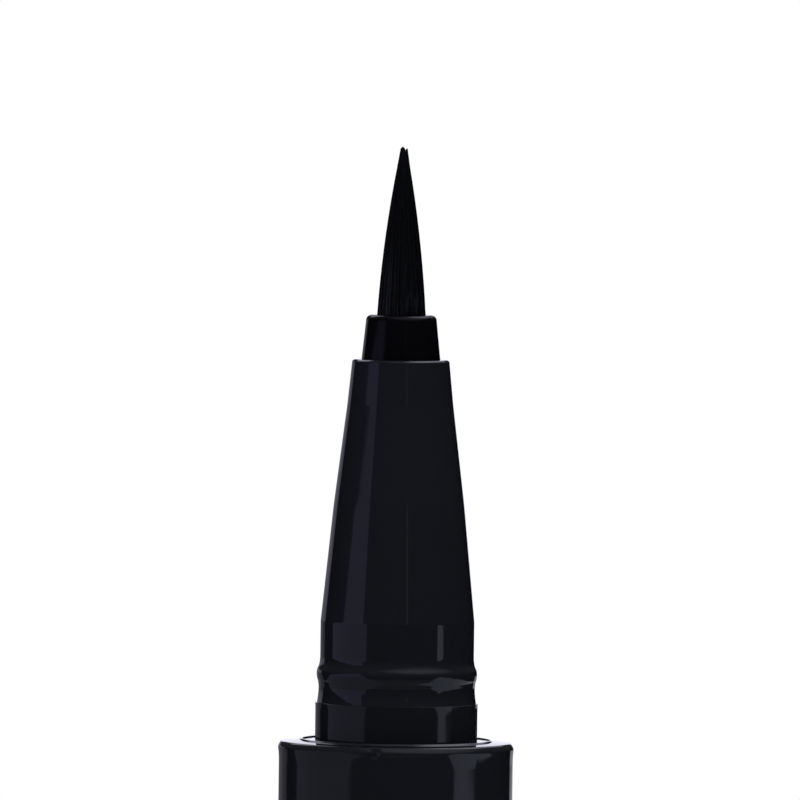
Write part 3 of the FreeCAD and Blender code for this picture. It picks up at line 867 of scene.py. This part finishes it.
class EYELINER_OT_front(bpy.types.Operator):
    """Turns the neck, the tapered nozzle and the brush holder"""

    bl_idname = "eyeliner.front"
    bl_label = "Neck, Nozzle and Holder"

    def execute(self, context):
        sizes = context.scene.pen_sizes
        colours = context.scene.pen_colours
        gloss = gloss_plastic("nozzle_gloss", colours.gloss)
        neck = turned(
            "neck_housing",
            [
                (CHAMBER_R, HOUSING_FOOT),
                (HOUSING_R, HOUSING_FOOT, EDGE_ROUND),
                (HOUSING_R, RIM - SEAM_DROP),
                (NECK_R, RIM - SEAM_DROP),
                *leaning(NECK_R, NECK_TOP - NECK_FOOT, NECK_LEANS),
                (NECK_R + NECK_SET_OUT, NECK_TOP, NECK_ROUND),
                (SOCKET_R, NECK_TOP),
                (SOCKET_R, NOZZLE_FOOT),
                (CHAMBER_R, NOZZLE_FOOT),
            ],
            sizes.facets,
        )
        placed(neck, "collector_housing", "pen", gloss)
        cone = turned(
            "nozzle_cone",
            [
                (NOZZLE_BORE_R, NOZZLE_FOOT),
                (NOZZLE_SPIGOT_R, NOZZLE_FOOT, EDGE_ROUND),
                (NOZZLE_SPIGOT_R, NECK_TOP),
                *leaning(FOOT_R, NECK_TOP, FOOT_LEANS),
                (SHANK_R, SHANK_TOP_Z, SHANK_ROUND),
                (CONE_TOP_R, CONE_TOP_Z, CONE_ROUND),
                (LAND_R, LAND_Z, SHANK_ROUND),
                *((NOZZLE_TOP_R + out, MOUTH_Z - down, MOUTH_ROUND) for out, down in MOUTH_BEVEL),
                (MOUTH_R, MOUTH_Z),
                (MOUTH_R, LEDGE_Z),
                (NOZZLE_BORE_R, LEDGE_Z),
            ],
            sizes.facets,
        )
        placed(cone, "nozzle", "pen", gloss)
        holder = turned(
            "holder_collar",
            [
                (ROOT_SEAT_R, HOLDER_FOOT),
                (HOLDER_FLANGE_R, HOLDER_FOOT),
                (HOLDER_FLANGE_R, LEDGE_Z),
                (HOLDER_R, LEDGE_Z),
                (HOLDER_R, NOZZLE_TOP),
                (HOLDER_TOP_R, HOLDER_RIM, HOLDER_ROUND),
                (HOLDER_BORE_R, HOLDER_RIM),
                (HOLDER_BORE_R, ROOT_TOP_Z),
                (ROOT_SEAT_R, ROOT_TOP_Z),
            ],
            sizes.facets,
        )
        placed(holder, "brush_holder", "pen", satin_plastic("holder_satin", colours.holder))
        return {"FINISHED"}


class EYELINER_OT_tuft(bpy.types.Operator):
    """Grows the bristles and turns the fused root that holds them together"""

    bl_idname = "eyeliner.tuft"
    bl_label = "Bristle Tuft"

    def execute(self, context):
        sizes = context.scene.pen_sizes
        material = wet_bristle("wet_bristle", context.scene.pen_colours.bristle)
        placed(bristle_bundle(sizes, material), "bristle_tuft", "pen", material)
        root = turned(
            "tuft_root",
            [
                (PIPE_CHANNEL_R, ROOT_FOOT),
                (ROOT_R, ROOT_FOOT, EDGE_ROUND),
                (ROOT_R, ROOT_TOP_Z, EDGE_ROUND),
                (PIPE_CHANNEL_R, ROOT_TOP_Z),
            ],
            sizes.facets,
        )
        placed(root, "bristle_tuft", "pen", material)
        heights = [i / CORE_STEPS for i in range(CORE_STEPS + 1)]
        core_r = HOLDER_BORE_R - CORE_SINK * sizes.bristle_thickness
        side = [
            (core_r * tuft_share(height), HOLDER_TOP + height * (TUFT_TIP - HOLDER_TOP - CORE_DROP))
            for height in heights
        ]
        core = turned(
            "tuft_core",
            [
                (PIPE_CHANNEL_R, ROOT_TOP_Z),
                (core_r, ROOT_TOP_Z),
                *side,
                (0, side[-1][1]),
                (0, CHANNEL_TOP_Z),
                (PIPE_CHANNEL_R, CHANNEL_TOP_Z),
            ],
            sizes.facets,
        )
        placed(core, "bristle_tuft", "pen", material)
        return {"FINISHED"}


class EYELINER_OT_cap(bpy.types.Operator):
    """Turns the cap's shell, its liner and the sealing cup inside"""

    bl_idname = "eyeliner.cap"
    bl_label = "Cap"

    def execute(self, context):
        sizes = context.scene.pen_sizes
        colours = context.scene.pen_colours
        shell = turned(
            "cap_outer",
            [
                (CAP_BORE_R, CAP_MOUTH, EDGE_ROUND),
                (CAP_R, CAP_MOUTH, sizes.rim_round),
                (CAP_R, CAP_TOP, sizes.crown_round),
                (0, CAP_TOP),
                (0, CAP_BOSS_Z),
                (SPRING_BOSS_R, CAP_BOSS_Z),
                (SPRING_BOSS_R, CAP_ROOF_Z),
                (CAP_BORE_R, CAP_ROOF_Z),
            ],
            sizes.facets,
            CAP_X,
        )
        placed(shell, "cap_shell", "cap", gloss_plastic("cap_gloss", colours.gloss))
        liner = turned(
            "cap_sleeve",
            [
                (CAP_FIT_R, LINER_FOOT, EDGE_ROUND),
                (LINER_R, LINER_FOOT, EDGE_ROUND),
                (LINER_R, LINER_TOP),
                (GUIDE_R, LINER_TOP),
                (GUIDE_R, RIB_Z + RIB_HALF),
                (RIB_R, RIB_Z, RIB_HALF),
                (CAP_FIT_R, RIB_Z - RIB_HALF),
            ],
            sizes.facets,
            CAP_X,
        )
        placed(liner, "cap_liner", "cap", satin_plastic("liner_satin", colours.liner))
        cup = turned(
            "sealing_cup_turned",
            [
                (CUP_BORE_R + CUP_CHAMFER, CUP_MOUTH),
                (CUP_R, CUP_MOUTH, EDGE_ROUND),
                (CUP_R, CUP_ROOF_Z),
                (CUP_FLANGE_R, CUP_ROOF_Z),
                (CUP_FLANGE_R, CUP_SEAT_Z, EDGE_ROUND),
                (SPRING_BOSS_R, CUP_SEAT_Z),
                (SPRING_BOSS_R, CUP_TOP, EDGE_ROUND),
                (0, CUP_TOP),
                (0, CUP_ROOF_Z),
                (CUP_BORE_R, CUP_ROOF_Z),
                (CUP_BORE_R, CUP_MOUTH + CUP_CHAMFER),
            ],
            sizes.facets,
            CAP_X,
        )
        white = natural_moulding("cup_moulding", colours.moulding, colours.ink, 0.1)
        placed(cup, "inner_cap", "sealing_cup", white)
        return {"FINISHED"}


class EYELINER_OT_spring(bpy.types.Operator):
    """Winds the spring behind the sealing cup"""

    bl_idname = "eyeliner.spring"
    bl_label = "Cap Spring"

    def execute(self, context):
        steel = drawn_steel("spring_steel", context.scene.pen_colours.steel, (1.0, 1.0, 4.0))
        spring = placed(coil(context.scene.pen_sizes, steel), "inner_cap_spring", "cap", steel)
        slide = next(joint for joint in frame["joints"] if joint["name"] == "inner_cap_slide")
        rest = CAP_ROOF_Z - CUP_SEAT_Z
        (rest - slide["range_m"][1]) / rest
        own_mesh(spring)
        return {"FINISHED"}


class EYELINER_OT_insides(bpy.types.Operator):
    """Gives the tank, the ink feed and the other hidden pieces their finishes"""

    bl_idname = "eyeliner.insides"
    bl_label = "Ink Tank and Feed"

    def execute(self, context):
        colours = context.scene.pen_colours
        stained = {"ink_tank": 0.15, "tank_plug": 0.3, "collector": 0.7, "relay_bush": 0.4, "ink_pipe": 0.5}
        for node, stain in stained.items():
            dressed(node, natural_moulding(node + "_moulding", colours.moulding, colours.ink, stain))
        dressed("mixing_ball", drawn_steel("ball_steel", colours.steel, (1.0, 1.0, 1.0)))
        dressed("tank_seal_ring", seal_rubber("ring_rubber", colours.rubber))
        dressed("feed_core", ink_felt("core_felt", colours.ink))
        return {"FINISHED"}


# ---------------------------------------------------------------- stage


def light_panel(name, distance, foot, light, tops):
    """Glowing panel bent round the pen, from its foot up to its tops, as the table of panels has it."""
    verts, faces = [], []
    for (left, top), (right, next_top) in zip(tops, tops[1:]):
        steps = max(1, math.ceil((right - left) / PANEL_STEP))
        for i in range(steps + 1):
            part = i / steps
            azimuth = math.radians(left + (right - left) * part)
            x, y = distance * math.sin(azimuth), -distance * math.cos(azimuth)
            verts += [(x, y, foot), (x, y, top + (next_top - top) * part)]
            if i:
                n = len(verts)
                faces.append((n - 4, n - 2, n - 1, n - 3))
    data = bpy.data.meshes.new(name)
    data.from_pydata(verts, [], faces)
    glow = Finish(name + "_glow")
    if len(light) == 2:
        (low, low_tint), (high, high_tint) = light
        tint = glow.blend(glow.ramp(glow.parts()[2], low, high), shade(low_tint), shade(high_tint))
    else:
        tint = shade(light)
    shader = glow.node("ShaderNodeEmission", None, {"Color": tint, "Strength": 1.0})
    glow.node("ShaderNodeOutputMaterial", None, {"Surface": shader})
    data.materials.append(glow.material)
    panel = bpy.data.objects.new(name, data)
    bpy.context.scene.collection.objects.link(panel)
    panel.visible_camera = False
    panel.visible_diffuse = False
    panel.visible_shadow = False


def floor_disc(radius, tint):
    """Pale floor that fades to white at its edge and keeps the shadow."""
    mesh = bmesh.new()
    bmesh.ops.create_circle(mesh, cap_ends=True, segments=FLOOR_SIDES, radius=radius)
    data = bpy.data.meshes.new("floor")
    mesh.to_mesh(data)
    mesh.free()
    finish = Finish("floor_paper")
    fibre = finish.noise(finish.place, 1.5 * MM, 4.0)
    paper = finish.node(
        "ShaderNodeBsdfDiffuse", None, {"Color": finish.blend(fibre, shade(tint, 0.985), shade(tint))}
    )
    white = finish.node("ShaderNodeEmission", None, {"Color": (1, 1, 1, 1), "Strength": 1.0})
    far = finish.node("ShaderNodeVectorMath", {"operation": "LENGTH"}, {0: finish.place}, output="Value")
    rays = finish.node("ShaderNodeLightPath", output="Is Camera Ray")
    fade = finish.ramp(far, FLOOR_FADE[0] * radius, FLOOR_FADE[1] * radius) * rays
    shader = finish.node("ShaderNodeMixShader", None, {0: fade, 1: paper, 2: white})
    finish.node("ShaderNodeOutputMaterial", None, {"Surface": shader})
    data.materials.append(finish.material)
    floor = bpy.data.objects.new("floor", data)
    bpy.context.scene.collection.objects.link(floor)
    floor.visible_glossy = False


def toward(azimuth, elevation):
    """Unit direction at an azimuth from the viewer, turning to the right, and an elevation."""
    flat = math.cos(elevation)
    return Vector((math.sin(azimuth) * flat, -math.cos(azimuth) * flat, math.sin(elevation)))


def white_surround(ambient):
    """World that is white to the camera, and to gloss only behind the pen, with soft lights elsewhere."""
    world = bpy.data.worlds.new("surround")
    world.use_nodes = True
    world.cycles.sampling_method = "NONE"
    bpy.context.scene.world = world
    sheet = Sheet(world.node_tree)
    rays = sheet.tree.nodes.new("ShaderNodeLightPath")
    seen, glossy, through = (
        Wire(sheet, rays.outputs[f"Is {kind} Ray"]) for kind in ("Camera", "Glossy", "Transmission")
    )
    way = sheet.node("ShaderNodeTexCoord", output="Generated")

    def spot(level, azimuth, elevation, outer, inner):
        """The level inside a cone of directions, fading to 0 at its outer angle."""
        middle = toward(math.radians(azimuth), math.radians(elevation))
        along = sheet.node(
            "ShaderNodeVectorMath", {"operation": "DOT_PRODUCT"}, {0: way, 1: middle}, output="Value"
        )
        return level * sheet.ramp(along, math.cos(math.radians(outer)), math.cos(math.radians(inner)))

    rise = sheet.node("ShaderNodeVectorMath", {"operation": "DOT_PRODUCT"}, {0: way, 1: (0, 0, 1)}, "Value")
    low, high = (level * sheet.ramp(rise, begin, full) for level, begin, full in GLOSS_CEILINGS)
    overhead = low + high
    for soft_light in GLOSS_LIGHTS:
        overhead += spot(*soft_light)
    behind = spot(*GLOSS_BACKDROP)
    level = behind.maths("MAXIMUM", behind, overhead)
    gloss = sheet.node("ShaderNodeVectorMath", {"operation": "SCALE"}, {0: GLOSS_TINT, "Scale": level})
    plain = seen.maths("MAXIMUM", seen, through)
    hidden = sheet.blend(glossy, shade((ambient, ambient, ambient)), gloss)
    light = sheet.blend(plain, hidden, shade((1, 1, 1)))
    shader = sheet.node("ShaderNodeBackground", None, {"Color": light, "Strength": 1.0})
    sheet.node("ShaderNodeOutputWorld", None, {"Surface": shader})


def key_lamp(level, target):
    """Soft square lamp overhead; its level is the brightness that a mirror would show."""
    data = bpy.data.lights.new("key", "AREA")
    data.shape = "SQUARE"
    data.size = KEY_SIDE
    data.energy = level * math.pi * KEY_SIDE**2
    lamp = bpy.data.objects.new("key", data)
    way = toward(KEY_TURN, KEY_RISE)
    lamp.location = target + way * KEY_DISTANCE
    lamp.rotation_mode = "QUATERNION"
    lamp.rotation_quaternion = (-way).to_track_quat("-Z", "Y")
    bpy.context.scene.collection.objects.link(lamp)
    lamp.visible_glossy = False


def camera(stage, target):
    """Camera at the photograph's angle, rolled by its lean."""
    data = bpy.data.cameras.new("camera")
    data.sensor_width = 36.0
    data.lens = data.sensor_width * stage.distance / stage.picture_width
    eye = bpy.data.objects.new("camera", data)
    way = toward(0.0, stage.elevation)
    eye.location = target + way * stage.distance
    eye.rotation_mode = "QUATERNION"
    eye.rotation_quaternion = (-way).to_track_quat("-Z", "Y") @ Quaternion((0, 0, 1), stage.roll)
    bpy.context.scene.collection.objects.link(eye)
    bpy.context.scene.camera = eye


class EYELINER_OT_stage(bpy.types.Operator):
    """Sets up the floor, the light panels, the lamp, the surround and the camera"""

    bl_idname = "eyeliner.stage"
    bl_label = "Stage"

    def execute(self, context):
        stage = context.scene.pen_stage
        target = Vector(stage.target)
        floor_disc(stage.floor_radius, context.scene.pen_colours.floor)
        for panel in PANELS:
            light_panel(*panel)
        key_lamp(stage.key_level, target)
        white_surround(stage.ambient)
        camera(stage, target)
        context.scene.view_settings.view_transform = "Standard"
        return {"FINISHED"}


# ---------------------------------------------------------------- add-on


OPERATORS = (
    EYELINER_OT_sleeve,
    EYELINER_OT_front,
    EYELINER_OT_tuft,
    EYELINER_OT_cap,
    EYELINER_OT_spring,
    EYELINER_OT_insides,
    EYELINER_OT_stage,
)


class EYELINER_PT_sidebar(bpy.types.Panel):
    """Lists the pen's settings and the steps that build it"""

    bl_idname = "EYELINER_PT_sidebar"
    bl_label = "Eyeliner Pen"
    bl_space_type = "VIEW_3D"
    bl_region_type = "UI"
    bl_category = "Eyeliner Pen"

    def draw(self, context):
        for settings in (context.scene.pen_sizes, context.scene.pen_colours, context.scene.pen_stage):
            box = self.layout.box()
            for name in settings.__annotations__:
                box.prop(settings, name)
        for operator in OPERATORS:
            self.layout.operator(operator.bl_idname)


SETTINGS = {"pen_sizes": PenSizes, "pen_colours": PenColours, "pen_stage": StageSettings}
CLASSES = (*SETTINGS.values(), *OPERATORS, EYELINER_PT_sidebar)


def register():
    """Registers the classes and hangs the settings on the scene."""
    for cls in CLASSES:
        bpy.utils.register_class(cls)
    for name, group in SETTINGS.items():
        setattr(bpy.types.Scene, name, bpy.props.PointerProperty(type=group))


def unregister():
    """Takes the settings and the classes away again."""
    for name in SETTINGS:
        delattr(bpy.types.Scene, name)
    for cls in reversed(CLASSES):
        bpy.utils.unregister_class(cls)


def main():
    """Builds the pen, its cap and the stage."""
    register()
    bpy.ops.eyeliner.sleeve()
    bpy.ops.eyeliner.front()
    bpy.ops.eyeliner.tuft()
    bpy.ops.eyeliner.cap()
    bpy.ops.eyeliner.spring()
    bpy.ops.eyeliner.insides()
    bpy.ops.eyeliner.stage()


if __name__ == "__main__":
    main()
